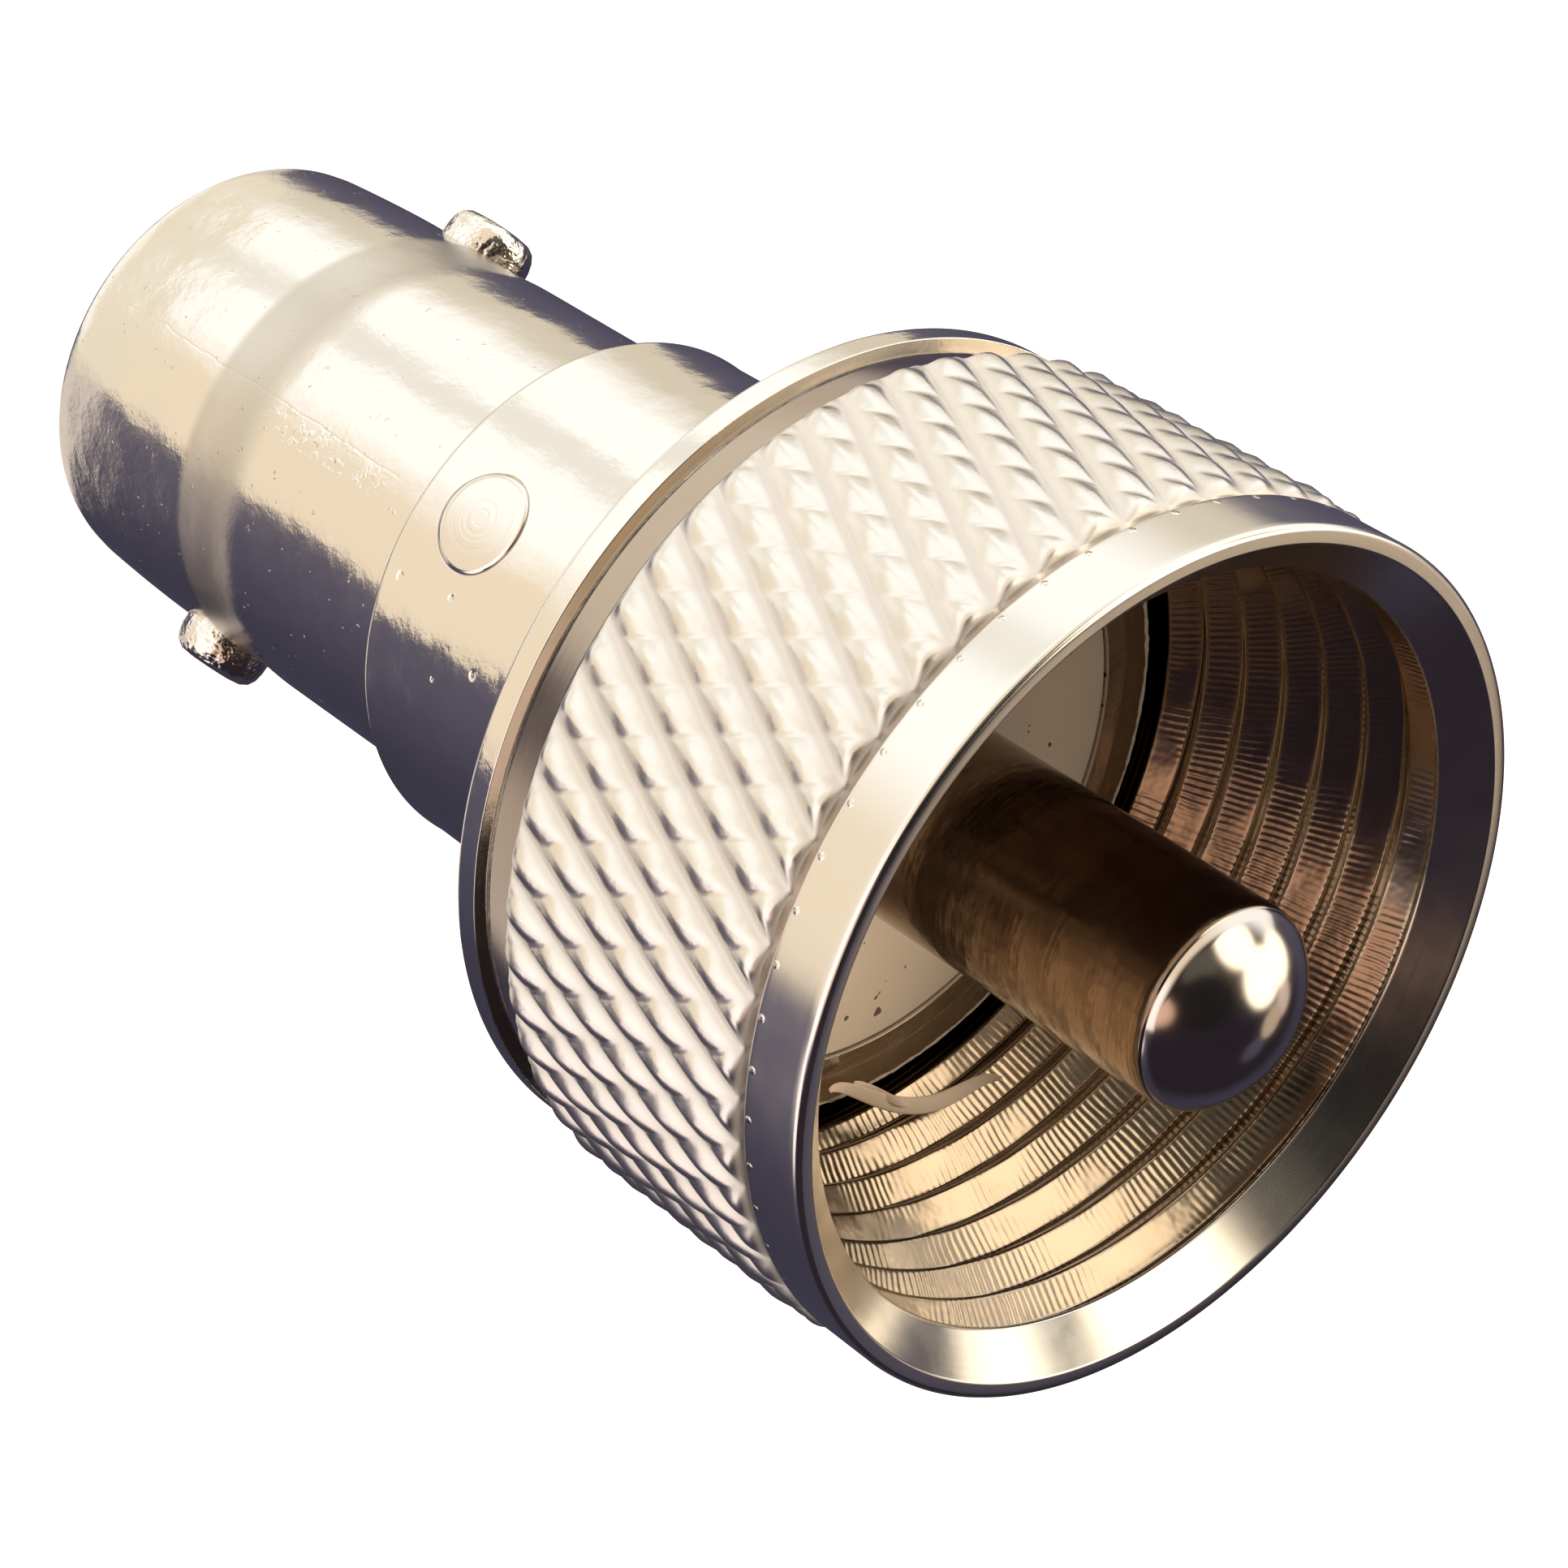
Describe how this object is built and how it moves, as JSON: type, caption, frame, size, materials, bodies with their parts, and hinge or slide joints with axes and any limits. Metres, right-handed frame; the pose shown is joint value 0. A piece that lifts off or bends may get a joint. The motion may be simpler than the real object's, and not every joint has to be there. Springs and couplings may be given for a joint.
{
  "type": "uhf connector",
  "caption": "Coaxial adapter with a knurled coupling nut round a domed centre pin at one end and a bayonet jack at the other.",
  "frame": {"origin": "centre of the jack's front rim, on the adapter's axis", "axes": "+Z along the axis from the jack to the mouth of the coupling nut; the bayonet lugs point along +X and -X, and the locking pin in the collar looks towards -Y"},
  "size_m": [0.0174, 0.0174, 0.0308],
  "materials": {
    "cast_nickel": "satin nickel plate",
    "turned_nickel": "bright nickel plate",
    "lug_nickel": "bright nickel plate",
    "ring_nickel": "bright nickel plate",
    "nut_nickel": "bright nickel plate",
    "pin_nickel": "bright nickel plate",
    "contact_metal": "plated spring contact",
    "white_insulator": "plain white"
  },
  "bodies": {
    "adapter": {"jack_shell": "cast_nickel", "bayonet_lug_right": "lug_nickel", "bayonet_lug_left": "lug_nickel", "adapter_body": "turned_nickel", "locking_pin": "turned_nickel", "contact_ring": "ring_nickel", "coupling_insulator": "white_insulator", "jack_insulator": "white_insulator", "centre_pin": "pin_nickel", "socket_contact": "contact_metal"},
    "nut": {"coupling_nut": "nut_nickel"}
  },
  "joints": [
    {"name": "nut_turn", "type": "hinge", "parent": "adapter", "child": "nut", "pos_m": [0, 0, 0.024], "axis": [0, 0, 1], "continuous": true}
  ]
}
